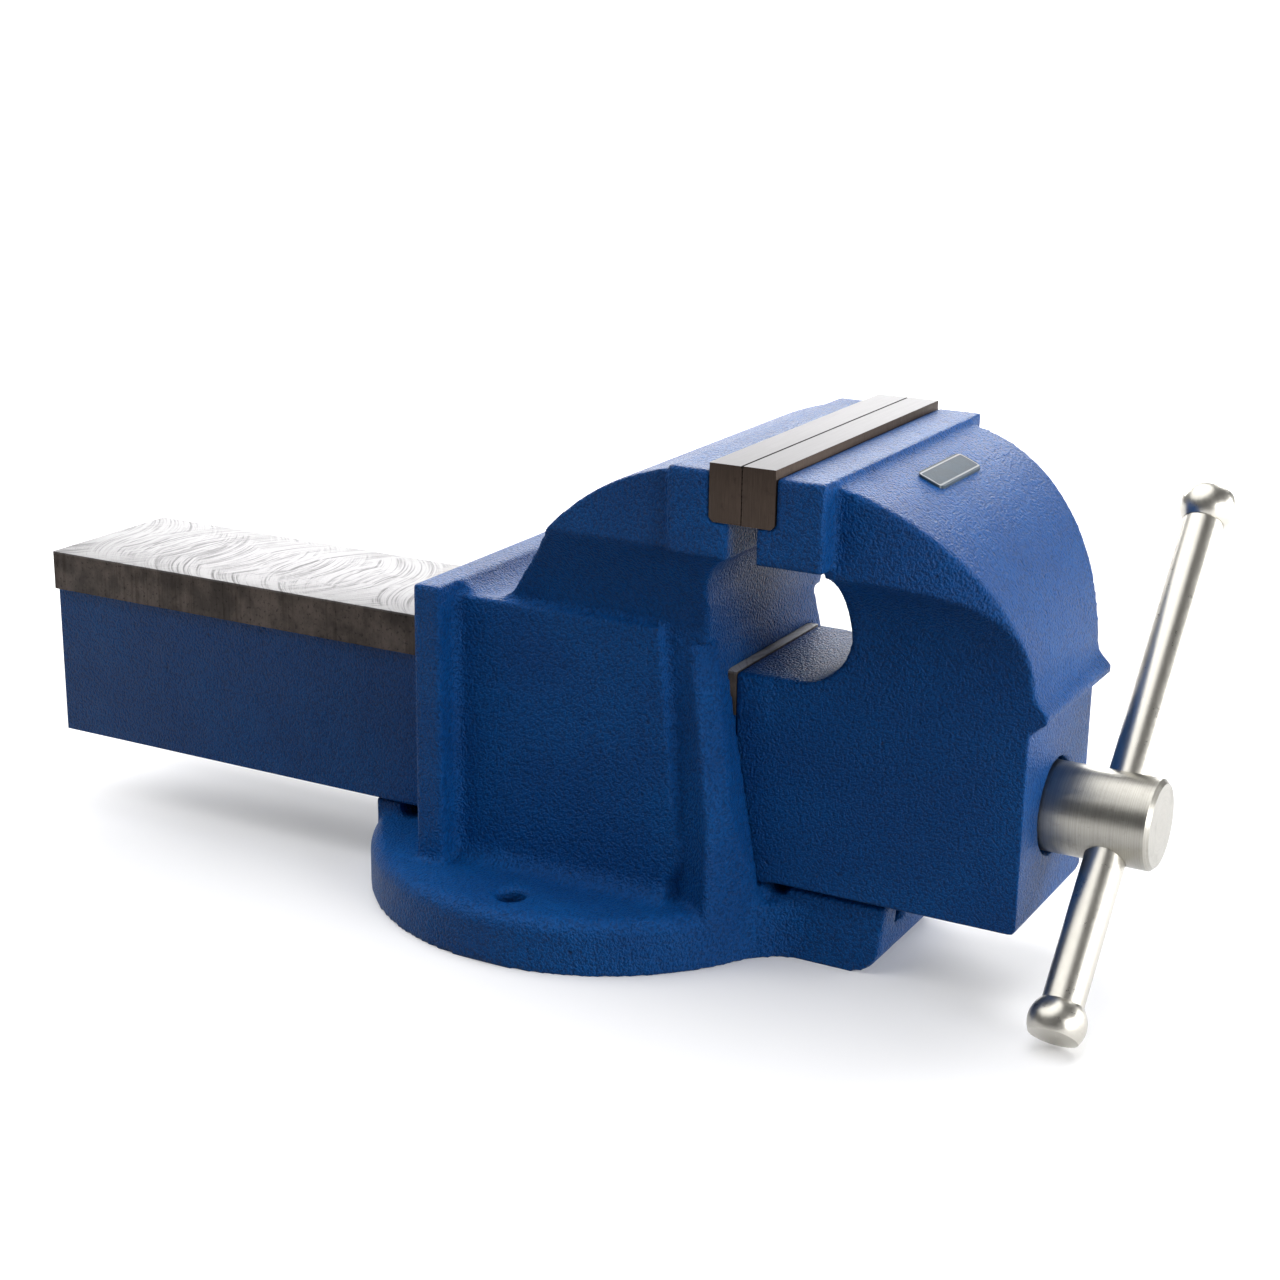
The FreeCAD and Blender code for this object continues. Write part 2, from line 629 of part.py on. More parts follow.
def is_corner(stamp):
    """Test for points on the four upright corner edges of a box."""
    bounds = stamp.BoundBox

    def test(point):
        near_x = min(point.x - bounds.XMin, bounds.XMax - point.x) < 0.01
        near_y = min(point.y - bounds.YMin, bounds.YMax - point.y) < 0.01
        return near_x and near_y

    return test


def parts():
    """Every node's name and shape."""
    fixed_face = JAW_SPLIT + PLATE_GAP / 2.0
    sliding_face = JAW_SPLIT - PLATE_GAP / 2.0
    return {
        "fixed_body": fixed_body(),
        "fixed_jaw_plate": jaw_plate(fixed_face, 1.0),
        "fixed_plate_screws": plate_screws(fixed_face, 1.0),
        "main_nut": main_nut(),
        "nut_screws": Part.makeCompound([nut_screw(y) for y in NUT_SCREW_Y]),
        "nut_washers": Part.makeCompound([nut_washer(y) for y in NUT_SCREW_Y]),
        "nut_dowels": nut_dowels(),
        "sliding_jaw": sliding_jaw(),
        "sliding_jaw_plate": jaw_plate(sliding_face, -1.0),
        "sliding_plate_screws": plate_screws(sliding_face, -1.0),
        "blank_badge": blank_badge(),
        "main_screw": main_screw(),
        "thrust_washer": washer(WASHER_R, HEAD_BACK + 0.05, WASHER_THICK),
        "spring_washer": washer(WASHER_R, FACE_INNER_Y + 0.1, END_WASHER_THICK),
        "take_up_spring": take_up_spring(),
        "retaining_collar": retaining_collar(),
        "collar_pin": collar_pin(),
        "handle_bar": handle_bar(),
        "upper_knob": knob(KNOB_UP, 1.0),
        "lower_knob": knob(-KNOB_DOWN, -1.0),
    }


os.makedirs("parts", exist_ok=True)
for name, shape in parts().items():
    shape.exportStep("parts/" + name + ".step")
    print(name, len(shape.Solids), round(shape.Volume / 1000.0, 1), "cm3", shape.isValid())
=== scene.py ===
import json
import math

import bmesh
import bpy
from mathutils import Matrix, Vector


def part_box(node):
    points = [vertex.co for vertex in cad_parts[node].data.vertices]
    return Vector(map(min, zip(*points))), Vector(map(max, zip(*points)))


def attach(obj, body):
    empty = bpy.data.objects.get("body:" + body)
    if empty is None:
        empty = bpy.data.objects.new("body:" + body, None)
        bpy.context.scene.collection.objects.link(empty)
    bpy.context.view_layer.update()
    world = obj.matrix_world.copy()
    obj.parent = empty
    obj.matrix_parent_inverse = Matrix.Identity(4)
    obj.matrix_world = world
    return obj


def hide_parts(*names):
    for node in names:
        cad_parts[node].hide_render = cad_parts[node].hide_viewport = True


bl_info = {
    "name": "Bench vise",
    "version": (1, 0, 0),
    "blender": (4, 5, 0),
    "location": "View3D > Sidebar > Bench vise",
    "description": "Cast skins, machined parts, finishes and studio for a bench vise with a sliding jaw",
    "category": "Object",
}

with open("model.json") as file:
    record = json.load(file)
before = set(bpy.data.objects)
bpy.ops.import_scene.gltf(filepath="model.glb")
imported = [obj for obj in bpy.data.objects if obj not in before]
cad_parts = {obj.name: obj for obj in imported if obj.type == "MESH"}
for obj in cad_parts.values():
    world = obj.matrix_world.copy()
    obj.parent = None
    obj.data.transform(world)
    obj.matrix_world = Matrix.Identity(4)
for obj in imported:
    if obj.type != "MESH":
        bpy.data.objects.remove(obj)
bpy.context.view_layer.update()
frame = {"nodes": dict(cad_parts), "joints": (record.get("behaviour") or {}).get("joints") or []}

# Places that the frame gives, in metres
SCREW_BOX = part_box("main_screw")
HEAD_FRONT = SCREW_BOX[0].y
SCREW_END = SCREW_BOX[1].y
COLLAR_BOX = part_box("retaining_collar")
SCREW_Z = (COLLAR_BOX[0].z + COLLAR_BOX[1].z) / 2.0
SCREW_AXIS = Vector((0.0, 0.0, SCREW_Z))
THREAD_START = COLLAR_BOX[1].y
SLIDE_TOP_Z = SCREW_Z + 0.04305     # top of the slide's flange
SLIDE_FLANGE_Z = SLIDE_TOP_Z - 0.0172     # foot of the flange, where the paint begins
BODY_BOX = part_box("fixed_body")
BADGE_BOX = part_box("blank_badge")
PLATE_SPLIT_Y = (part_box("fixed_jaw_plate")[0].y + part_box("sliding_jaw_plate")[1].y) / 2.0
PLATE_TOP_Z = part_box("fixed_jaw_plate")[1].z
BAR_JOINT = next(j for j in frame["joints"] if j["name"] == "bar_slide")
BAR_AXIS = Vector(BAR_JOINT["axis"]).normalized()

# Details of the finishes, in metres
LUMP = 0.0014                 # broader lumps of the enamel
FINE_LUMP = 0.0009            # finer lumps of the enamel
ENAMEL_DEPTH = 0.0018         # height of the enamel's lumps on a casting
SLIDE_DEPTH = 0.0014          # the same on the slide
MILL_RADIUS = 0.048           # arcs that the face mill left on the slide
MILL_MARK = 0.0011            # width of one of them
PAINT_SHINE = 0.14            # specular level of the enamel
SLIDE_EDGE = 0.0007           # broken edges of the slide

# Soft boxes: name, place and size in metres, the setting that gives its power, and its share of that
PANELS = (
    ("overhead", (0.25, 0.35, 1.35), (1.0, 1.0), "overhead", 1.0),
    ("front_panel", (-0.5, -1.45, 0.45), (0.8, 0.6), "front", 1.0),
    ("low_right_panel", (0.55, -1.3, 0.34), (1.3, 0.5), "right", 1.25),
    ("right_panel", (1.35, -0.35, 1.0), (0.7, 0.7), "right", 0.9),
    ("backdrop", (1.95, 1.06, 0.86), (2.2, 0.9), "backdrop", 1.0),
)
CEILING_PLACE = (-0.1, 0.6, 1.4)
CEILING_SPREAD = math.radians(75.0)

# The floor glows faintly under the vise and turns white with distance
FLOOR_HALF = 30.0
FLOOR_NEAR = 0.3
FLOOR_FAR = 1.3
FLOOR_GLOW = (0.16, 0.16, 0.16)
WHITE = (1.0, 1.0, 1.0)


class CastingSizes(bpy.types.PropertyGroup):
    """Sizes of the two castings' skins."""

    grain: bpy.props.FloatProperty(
        name="Skin grain", description="Edge length of the skin's faces before it is thinned",
        default=0.0013, min=0.001, unit="LENGTH")
    rounding: bpy.props.IntProperty(
        name="Rounding", description="How often the skin is relaxed to round its edges",
        default=2, min=0)
    body_faces: bpy.props.IntProperty(
        name="Faces", description="Most triangles left in each skin", default=170000, min=10000)
    slide_start: bpy.props.FloatProperty(
        name="Slide start", description="Where the cast head ends and the machined slide begins, along Y",
        default=-0.0765, unit="LENGTH")
    bore_room: bpy.props.FloatProperty(
        name="Bore room", description="Radius kept clear round the screw in the skin",
        default=0.0136, unit="LENGTH")


class MachinedSizes(bpy.types.PropertyGroup):
    """Sizes of the machined pieces' details."""

    edge_break: bpy.props.FloatProperty(
        name="Edge break", description="Width of the broken edges on machined pieces",
        default=0.0005, min=0.0, unit="LENGTH")
    thread_lead: bpy.props.FloatProperty(
        name="Lead", description="Travel of the jaw in one turn of the screw",
        default=0.005, min=0.001, unit="LENGTH")
    thread_radius: bpy.props.FloatProperty(
        name="Thread radius", description="Radius over the crests of the thread",
        default=0.0125, min=0.001, unit="LENGTH")
    thread_depth: bpy.props.FloatProperty(
        name="Thread depth", description="Depth of the trapezoidal thread",
        default=0.002, min=0.0, unit="LENGTH")
    serration: bpy.props.FloatProperty(
        name="Serration", description="Spacing of the cross cuts on the gripping faces",
        default=0.0016, min=0.0005, unit="LENGTH")


class FinishColours(bpy.types.PropertyGroup):
    """Colours of the finishes."""

    paint: bpy.props.FloatVectorProperty(
        name="Paint", description="Enamel on the castings", subtype="COLOR", size=3,
        default=(0.002, 0.082, 0.31), min=0.0, max=1.0)
    paint_deep: bpy.props.FloatVectorProperty(
        name="Deep paint", description="Enamel where it lies thick", subtype="COLOR", size=3,
        default=(0.002, 0.064, 0.255), min=0.0, max=1.0)
    rust: bpy.props.FloatVectorProperty(
        name="Worn iron", description="Iron that shows through worn paint", subtype="COLOR", size=3,
        default=(0.035, 0.028, 0.024), min=0.0, max=1.0)
    bare_iron: bpy.props.FloatVectorProperty(
        name="Machined iron", description="Machined top of the slide", subtype="COLOR", size=3,
        default=(0.30, 0.295, 0.30), min=0.0, max=1.0)
    edge_iron: bpy.props.FloatVectorProperty(
        name="Dark iron", description="Mottled sides of the slide's flange", subtype="COLOR", size=3,
        default=(0.045, 0.036, 0.031), min=0.0, max=1.0)
    steel: bpy.props.FloatVectorProperty(
        name="Turned steel", description="Screw and tommy bar", subtype="COLOR", size=3,
        default=(0.43, 0.415, 0.375), min=0.0, max=1.0)
    plate: bpy.props.FloatVectorProperty(
        name="Hardened plate", description="Ends of the jaw plates", subtype="COLOR", size=3,
        default=(0.062, 0.045, 0.036), min=0.0, max=1.0)
    badge: bpy.props.FloatVectorProperty(
        name="Badge", description="Middle of the blank plate on the arch", subtype="COLOR", size=3,
        default=(0.028, 0.047, 0.068), min=0.0, max=1.0)


class StudioSettings(bpy.types.PropertyGroup):
    """Camera, lights and floor."""

    eye: bpy.props.FloatVectorProperty(
        name="Camera", description="Where the camera stands", subtype="TRANSLATION", size=3,
        default=(-0.76365, -0.43131, 0.37131))
    heading: bpy.props.FloatProperty(
        name="Heading", description="Turn of the view from +Y towards +X", subtype="ANGLE",
        default=math.radians(61.4))
    dip: bpy.props.FloatProperty(
        name="Dip", description="How far the view looks down", subtype="ANGLE",
        default=math.radians(16.97))
    roll: bpy.props.FloatProperty(
        name="Roll", description="Turn of the picture", subtype="ANGLE", default=math.radians(0.8))
    lens: bpy.props.FloatProperty(
        name="Focal length", description="Focal length on a 36 mm sensor, in millimetres",
        default=63.64, min=1.0)
    floor_colour: bpy.props.FloatVectorProperty(
        name="Floor", description="Colour of the floor", subtype="COLOR", size=3,
        default=(0.93, 0.93, 0.94), min=0.0, max=1.0)
    sky: bpy.props.FloatProperty(
        name="Room light", description="Strength of the light from all round", default=0.13, min=0.0)
    overhead: bpy.props.FloatProperty(
        name="Overhead", description="Power of the overhead soft box, in watts", default=3.0, min=0.0)
    front: bpy.props.FloatProperty(
        name="Front panel", description="Power of the soft box in front of the sliding jaw, in watts",
        default=12.0, min=0.0)
    right: bpy.props.FloatProperty(
        name="Right panel", description="Power of the soft boxes to the right, in watts",
        default=9.0, min=0.0)
    backdrop: bpy.props.FloatProperty(
        name="Backdrop", description="Power of the wide panel behind the vise, in watts",
        default=48.0, min=0.0)
    ceiling: bpy.props.FloatProperty(
        name="Ceiling", description="Even light from above, in watts per square metre",
        default=2.4, min=0.0)


PROPERTY_GROUPS = {
    "vise_castings": CastingSizes,
    "vise_machined": MachinedSizes,
    "vise_colours": FinishColours,
    "vise_studio": StudioSettings,
}


# ---- materials ----

class Wire:
    """One output socket of a finish; arithmetic on it adds Math nodes."""

    def __init__(self, finish, socket):
        self.finish = finish
        self.socket = socket

    def __add__(self, other):
        return self.finish.math("ADD", self, other)

    def __radd__(self, other):
        return self.finish.math("ADD", other, self)

    def __sub__(self, other):
        return self.finish.math("SUBTRACT", self, other)

    def __rsub__(self, other):
        return self.finish.math("SUBTRACT", other, self)

    def __mul__(self, other):
        return self.finish.math("MULTIPLY", self, other)

    def __rmul__(self, other):
        return self.finish.math("MULTIPLY", other, self)

    def __abs__(self):
        return self.finish.math("ABSOLUTE", self)


class Finish:
    """A material that is built up from nodes."""

    def __init__(self, name):
        self.material = bpy.data.materials.new(name)
        self.material.use_nodes = True
        self.tree = self.material.node_tree
        self.tree.nodes.clear()
        self.place = self.node("TexCoord", out="Object")

    def node(self, kind, settings=None, inputs=None, out=0):
        """Adds any node: its settings first, and then the values or links of its sockets."""
        made = self.tree.nodes.new("ShaderNode" + kind)
        for name, value in (settings or {}).items():
            setattr(made, name, value)
        for key, value in (inputs or {}).items():
            if isinstance(value, Wire):
                self.tree.links.new(value.socket, made.inputs[key])
            else:
                made.inputs[key].default_value = value
        return Wire(self, made.outputs[out])

    def math(self, operation, *values):
        """A Math node."""
        return self.node("Math", {"operation": operation}, dict(enumerate(values)))

    def axes(self, vector=None):
        """The three numbers of a vector."""
        split = self.node("SeparateXYZ", inputs={0: vector or self.place})
        outputs = split.socket.node.outputs
        return [Wire(self, outputs[index]) for index in range(3)]

    def along(self, direction):
        """Distance along a direction."""
        settings = {"operation": "DOT_PRODUCT"}
        return self.node("VectorMath", settings, {0: self.place, 1: direction}, out="Value")

    def join(self, x, y, z):
        """A vector from three numbers."""
        return self.node("CombineXYZ", inputs={0: x, 1: y, 2: z})

    def noise(self, size, detail=2.0, rough=0.5, at=None, offset=0.0):
        """Smooth noise whose lumps are about the given size, in metres."""
        vector = at or self.place
        if offset:
            vector = self.node("VectorMath", {"operation": "ADD"}, {0: vector, 1: (offset,) * 3})
        return self.node("TexNoise", inputs={
            "Vector": vector, "Scale": 1.0 / size, "Detail": detail, "Roughness": rough})

    def cells(self, size, at=None):
        """Distance to the middle of the nearest of many scattered cells, 0 to about 1."""
        return self.node("TexVoronoi", inputs={"Vector": at or self.place, "Scale": 1.0 / size})

    def rise(self, value, low, high):
        """Goes smoothly from 0 at low to 1 at high."""
        return self.node("MapRange", {"interpolation_type": "SMOOTHSTEP"},
                         {"Value": value, "From Min": low, "From Max": high})

    def between(self, factor, low, high):
        """A number between low and high."""
        return low + factor * (high - low)

    def blend(self, factor, first, second):
        """Mix of two colours."""
        colours = [value if isinstance(value, Wire) else (*value, 1.0) for value in (first, second)]
        return self.node("Mix", {"data_type": "RGBA"},
                         {0: factor, 6: colours[0], 7: colours[1]}, out=2)

    def facing(self, axis):
        """How squarely the face looks along an axis, 0 to 1."""
        normal = self.node("NewGeometry", out="Normal")
        return abs(self.axes(normal)[axis])

    def edges(self, low=0.52, high=0.58):
        """1 on the outer edges of a fine mesh, 0 elsewhere."""
        return self.rise(self.node("NewGeometry", out="Pointiness"), low, high)

    def surface(self, colour, roughness, metallic=0.0, height=None, depth=0.001, **constants):
        """Ends the finish with its shader, and returns the material."""
        inputs = {"Base Color": colour if isinstance(colour, Wire) else (*colour, 1.0),
                  "Roughness": roughness, "Metallic": metallic}
        if height is not None:
            inputs["Normal"] = self.node("Bump", inputs={
                "Height": height, "Distance": depth, "Strength": 1.0})
        for name, value in constants.items():
            inputs[name.replace("_", " ")] = value
        shader = self.node("BsdfPrincipled", inputs=inputs)
        self.node_output(shader)
        return self.material

    def node_output(self, shader):
        """Links a shader to the material's output."""
        end = self.tree.nodes.new("ShaderNodeOutputMaterial")
        self.tree.links.new(shader.socket, end.inputs["Surface"])


def colours():
    """The colours set in the sidebar."""
    return bpy.context.scene.vise_colours


def tinted(colour, factor):
    """A colour made lighter or darker."""
    return tuple(min(1.0, channel * factor) for channel in colour)


def paint_layers(finish):
    """Colour, roughness and height of enamel on a sand-cast surface, with painted shade in the hollows
    between its lumps and in its pits.
    """
    tones = colours()
    lumps = finish.noise(LUMP, 2.0, 0.5)
    fine = finish.noise(FINE_LUMP, 2.0, 0.5, offset=3.1)
    broad = finish.noise(0.05, 3.0, 0.55, offset=1.7)
    cloud = finish.noise(0.012, 4.0, 0.6, offset=5.3)
    pits = finish.rise(finish.cells(0.0075), 0.16, 0.05) * finish.rise(cloud, 0.5, 0.62)
    wear_spots = finish.rise(finish.noise(0.0022, 4.0, 0.7, offset=8.0), 0.5, 0.62)
    wear = finish.edges(0.535, 0.61) * wear_spots * finish.rise(cloud, 0.46, 0.60)
    scuffs = finish.rise(finish.noise(0.006, 5.0, 0.75, offset=11.0), 0.685, 0.72)
    wear = finish.math("MAXIMUM", wear, scuffs * 0.6)
    colour = finish.blend(finish.rise(broad, 0.35, 0.65), tones.paint_deep, tones.paint)
    # Painted shade: the hollows between the enamel's lumps are drawn darker.
    painted_hollow_shade = finish.rise(0.5 * lumps + 0.5 * fine, 0.56, 0.40)
    colour = finish.blend(painted_hollow_shade * 0.6, colour, tinted(tones.paint_deep, 0.45))
    # Painted shade: the pits, already sunk in the height, are also drawn much darker.
    colour = finish.blend(pits * 0.7, colour, tinted(tones.paint_deep, 0.4))
    colour = finish.blend(wear, colour, tones.rust)
    roughness = 0.34 + 0.12 * cloud + 0.3 * wear + 0.06 * (lumps - 0.5)
    height = 0.4 * lumps + 0.6 * fine - 0.3 * pits - 0.15 * wear
    return colour, roughness, height


def enamel(name):
    """Blue enamel on a casting."""
    finish = Finish(name)
    colour, roughness, height = paint_layers(finish)
    return finish.surface(colour, roughness, height=height, depth=ENAMEL_DEPTH,
                          Specular_IOR_Level=PAINT_SHINE)


def slide_finish(name):
    """Enamel below, and machined iron on the flange: swirled on top and mottled on its sides."""
    finish = Finish(name)
    tones = colours()
    colour, roughness, height = paint_layers(finish)
    x, y, z = finish.axes()
    ragged = 0.0009 * (finish.noise(0.004, 3.0, 0.6, offset=2.0) - 0.5)
    bare = finish.rise(z + ragged, SLIDE_FLANGE_Z - 0.0002, SLIDE_FLANGE_Z + 0.0002)
    top = finish.facing(2) * finish.rise(z, SLIDE_TOP_Z - 0.0012, SLIDE_TOP_Z - 0.0004)
    bow = finish.math("SQRT", MILL_RADIUS * MILL_RADIUS - x * x)
    ahead = finish.noise(MILL_MARK, 3.0, 0.6, at=finish.join(y - bow, x * 0.03, 0.0), offset=4.0)
    behind = finish.noise(MILL_MARK, 3.0, 0.6, at=finish.join(y + bow, x * 0.03, 0.0), offset=7.0)
    patch = finish.rise(finish.noise(0.03, 3.0, 0.6, offset=12.0), 0.4, 0.6)
    marks = finish.rise(ahead + patch * (behind - ahead), 0.46, 0.66)
    stain = finish.noise(0.009, 4.0, 0.65, at=finish.join(x, y * 0.6, z * 0.5), offset=6.0)
    speck = finish.noise(0.0016, 3.0, 0.7, offset=9.0)
    side = finish.blend(finish.rise(stain, 0.35, 0.7), tones.edge_iron, tinted(tones.edge_iron, 2.6))
    side = finish.blend(finish.rise(speck, 0.55, 0.7) * 0.8, side, tinted(tones.edge_iron, 0.35))
    face = finish.blend(marks * 0.6, tinted(tones.bare_iron, 1.2), tinted(tones.bare_iron, 0.4))
    face = finish.blend(finish.rise(stain, 0.55, 0.75) * 0.25, face, tones.edge_iron)
    iron = finish.blend(top, side, face)
    colour = finish.blend(bare, colour, iron)
    iron_rough = finish.between(top, 0.52, 0.42) + 0.2 * marks
    roughness = roughness + bare * (iron_rough - roughness)
    height = height * (1.0 - bare) + bare * (0.06 * speck + 0.05 * marks)
    metal = bare * finish.between(top, 0.35, 0.1)
    return finish.surface(colour, roughness, metal, height, SLIDE_DEPTH,
                          Specular_IOR_Level=PAINT_SHINE)


def hardened_plate(name):
    """Ground hardened steel: bright above, dark and brushed on the ends, cross-cut on the gripping face, with
    painted shade in the cuts and along the edge where the plates meet.
    """
    finish = Finish(name)
    tones = colours()
    pitch = bpy.context.scene.vise_machined.serration
    x, y, z = finish.axes()
    streak = finish.noise(0.0005, 3.0, 0.6, at=finish.join(x, y, z * 0.06))
    long_streak = finish.noise(0.0004, 3.0, 0.6, at=finish.join(x * 0.02, y, z), offset=2.0)
    blotch = finish.noise(0.004, 4.0, 0.6, offset=5.0)
    end = finish.blend(finish.rise(streak, 0.2, 0.8), tinted(tones.plate, 0.82), tinted(tones.plate, 1.12))
    end = finish.blend(finish.rise(blotch, 0.55, 0.75) * 0.5, end, tinted(tones.plate, 0.45))
    scratched = finish.rise(long_streak, 0.35, 0.75) * 0.2
    top = finish.blend(scratched, tinted(tones.bare_iron, 1.6), tones.bare_iron)
    up = finish.rise(finish.facing(2), 0.6, 0.9)
    joint = finish.rise(abs(y - PLATE_SPLIT_Y), 0.0006, 0.0004)
    # Painted shade: a dark band along the top of the gripping face, where the two plates meet.
    meeting_edge_shade = joint * finish.rise(z, PLATE_TOP_Z - 0.0012, PLATE_TOP_Z - 0.0006)
    grip = joint * finish.rise(finish.facing(1), 0.8, 0.95)
    colour = finish.blend(up, end, top)
    first = finish.math("PINGPONG", (x + z) * 0.7071, pitch / 2.0)
    second = finish.math("PINGPONG", (x - z) * 0.7071, pitch / 2.0)
    teeth = finish.math("MINIMUM", first, second) * (2.0 / pitch)
    # Painted shade: the grooves between the teeth are drawn darker.
    colour = finish.blend(grip * finish.rise(teeth, 0.35, 0.0) * 0.6, colour, tinted(tones.plate, 0.3))
    colour = finish.blend(meeting_edge_shade, colour, tinted(tones.plate, 0.15))
    height = grip * teeth + 0.12 * streak * (1.0 - grip)
    roughness = 0.42 + 0.12 * blotch + 0.3 * up
    metal = finish.between(up, 0.6, 0.0) * (1.0 - meeting_edge_shade)
    return finish.surface(colour, roughness, metal, height, 0.0005, Specular_IOR_Level=0.13)


def turned_steel(name, axis, centre, tone, ring=0.00045, rough=0.24, marks=1.0):
    """Bright steel with fine rings about an axis and a few darker stains."""
    finish = Finish(name)
    tone = tuple(tone)
    length = finish.along(axis)
    away = finish.node("VectorMath", {"operation": "SUBTRACT"}, {0: finish.place, 1: centre})
    reach = finish.node("VectorMath", {"operation": "LENGTH"}, {0: away}, out="Value")
    rings = finish.noise(ring, 3.0, 0.65, at=finish.join(length, reach, 0.0))
    broad_rings = finish.noise(ring * 8.0, 3.0, 0.6, at=finish.join(length, reach, 0.0), offset=3.0)
    stain = finish.noise(0.007, 5.0, 0.65, offset=2.0)
    speck = finish.noise(0.0014, 3.0, 0.6, offset=7.0)
    grain = finish.rise(rings, 0.3, 0.7)
    colour = finish.blend(grain * (0.55 * marks), tinted(tone, 0.72), tinted(tone, 1.12))
    colour = finish.blend(finish.rise(stain, 0.52, 0.72) * (0.4 * marks), colour, tinted(tone, 0.5))
    colour = finish.blend(finish.rise(speck, 0.66, 0.74) * (0.5 * marks), colour, tinted(tone, 0.3))
    roughness = rough + 0.12 * stain + 0.07 * grain
    height = 0.5 * rings + 0.5 * broad_rings + 0.2 * speck
    return finish.surface(colour, roughness, 1.0, height, 0.00009 * marks)


def plain_metal(name, tone, rough, metal=1.0, grain=0.0008, depth=0.00012):
    """Small fittings: even metal with fine grain and stains."""
    finish = Finish(name)
    fine = finish.noise(grain, 3.0, 0.6)
    stain = finish.noise(0.006, 4.0, 0.6, offset=4.0)
    colour = finish.blend(finish.rise(stain, 0.4, 0.7) * 0.5, tone, tinted(tone, 0.55))
    colour = finish.blend(finish.rise(fine, 0.4, 0.7) * 0.3, colour, tinted(tone, 1.3))
    return finish.surface(colour, rough + 0.15 * stain, metal, fine, depth)


def badge_finish(name):
    """Dark blank plate with a pale line just inside its edge."""
    finish = Finish(name)
    tones = colours()
    x, y, z = finish.axes()
    low, high = BADGE_BOX
    middle = (low + high) / 2.0
    half = (high - low) / 2.0
    near_x = half.x - abs(x - middle.x)
    near_y = half.y - abs(y - middle.y)
    near = finish.math("SMOOTH_MIN", near_x, near_y, 0.0012)
    line = finish.rise(near, 0.0005, 0.0008) * finish.rise(near, 0.0014, 0.0011)
    fine = finish.noise(0.0007, 3.0, 0.6)
    stain = finish.noise(0.005, 3.0, 0.6, offset=3.0)
    colour = finish.blend(finish.rise(stain, 0.4, 0.65) * 0.4, tones.badge, tinted(tones.badge, 1.7))
    colour = finish.blend(line, colour, (0.30, 0.32, 0.34))
    height = 0.4 * fine + 0.9 * line
    return finish.surface(colour, 0.5 + 0.12 * stain, 0.3 * line, height, 0.0002, Specular_IOR_Level=0.25)


# ---- mesh helpers ----

def merged_copy(node):
    """A mesh being edited that starts as a copy of a CAD node, with its loose triangles joined."""
    bm = bmesh.new()
    bm.from_mesh(frame["nodes"][node].data)
    bmesh.ops.remove_doubles(bm, verts=bm.verts, dist=2e-6)
    return bm


def flattened(bm):
    """Joins the triangles of flat faces."""
    bmesh.ops.dissolve_limit(bm, angle_limit=math.radians(0.6), use_dissolve_boundaries=False,
                             verts=bm.verts, edges=bm.edges)
    return bm


def cut_at(bm, y, keep_front):
    """Cuts the mesh square across Y, keeps one side and closes the cut."""
    cut = bmesh.ops.bisect_plane(
        bm, geom=bm.verts[:] + bm.edges[:] + bm.faces[:], dist=1e-6, plane_co=(0.0, y, 0.0),
        plane_no=(0.0, 1.0, 0.0), clear_outer=keep_front, clear_inner=not keep_front)
    rim = [part for part in cut["geom_cut"] if isinstance(part, bmesh.types.BMEdge)]
    bmesh.ops.triangle_fill(bm, edges=rim, use_beauty=True, use_dissolve=True)
    return bm


def new_piece(name, bm, body, material, sharp=35.0):
    """Object at the origin from an edited mesh, which rides on a CAD body."""
    mesh = bpy.data.meshes.new(name)
    bm.to_mesh(mesh)
    bm.free()
    if "custom_normal" in mesh.attributes:
        mesh.attributes.remove(mesh.attributes["custom_normal"])
    mesh.materials.clear()
    mesh.materials.append(material)
    mesh.polygons.foreach_set("material_index", [0] * len(mesh.polygons))
    mesh.polygons.foreach_set("use_smooth", [True] * len(mesh.polygons))
    mesh.set_sharp_from_angle(angle=math.radians(sharp))
    piece = bpy.data.objects.new(name, mesh)
    bpy.context.scene.collection.objects.link(piece)
    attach(piece, body)
    return piece


def settle(piece):
    """Makes a piece's modifiers part of its mesh."""
    bpy.context.view_layer.update()
    shaped = piece.evaluated_get(bpy.context.evaluated_depsgraph_get())
    old = piece.data
    piece.data = bpy.data.meshes.new_from_object(shaped)
    piece.data.name = piece.name
    piece.modifiers.clear()
    bpy.data.meshes.remove(old)


def cast_skin(piece):
    """Turns a sharp casting into one even skin with rounded edges and filled corners."""
    sizes = bpy.context.scene.vise_castings
    remesh = piece.modifiers.new("Skin", "REMESH")
    remesh.mode = "VOXEL"
    remesh.voxel_size = sizes.grain
    relax = piece.modifiers.new("Rounding", "SMOOTH")
    relax.factor = 0.5
    relax.iterations = sizes.rounding
    settle(piece)
    count = sum(len(face.vertices) - 2 for face in piece.data.polygons)
    if count > sizes.body_faces:
        thin = piece.modifiers.new("Thinning", "DECIMATE")
        thin.ratio = sizes.body_faces / count
        settle(piece)
    piece.data.polygons.foreach_set("use_smooth", [True] * len(piece.data.polygons))


def break_edges(piece, width, segments=2, angle=30.0):
    """Small round on the sharp edges of a machined piece."""
    edge = piece.modifiers.new("Broken edges", "BEVEL")
    edge.width = width
    edge.segments = segments
    edge.limit_method = "ANGLE"
    edge.angle_limit = math.radians(angle)
    edge.miter_outer = "MITER_ARC"
    edge.harden_normals = False
    settle(piece)
    piece.data.polygons.foreach_set("use_smooth", [True] * len(piece.data.polygons))
    piece.data.set_sharp_from_angle(angle=math.radians(40.0))


def dress(material, *nodes):
    """Gives CAD nodes that stay visible their finish."""
    for name in nodes:
        mesh = frame["nodes"][name].data
        mesh.materials.clear()
        mesh.materials.append(material)


# ---- operators ----

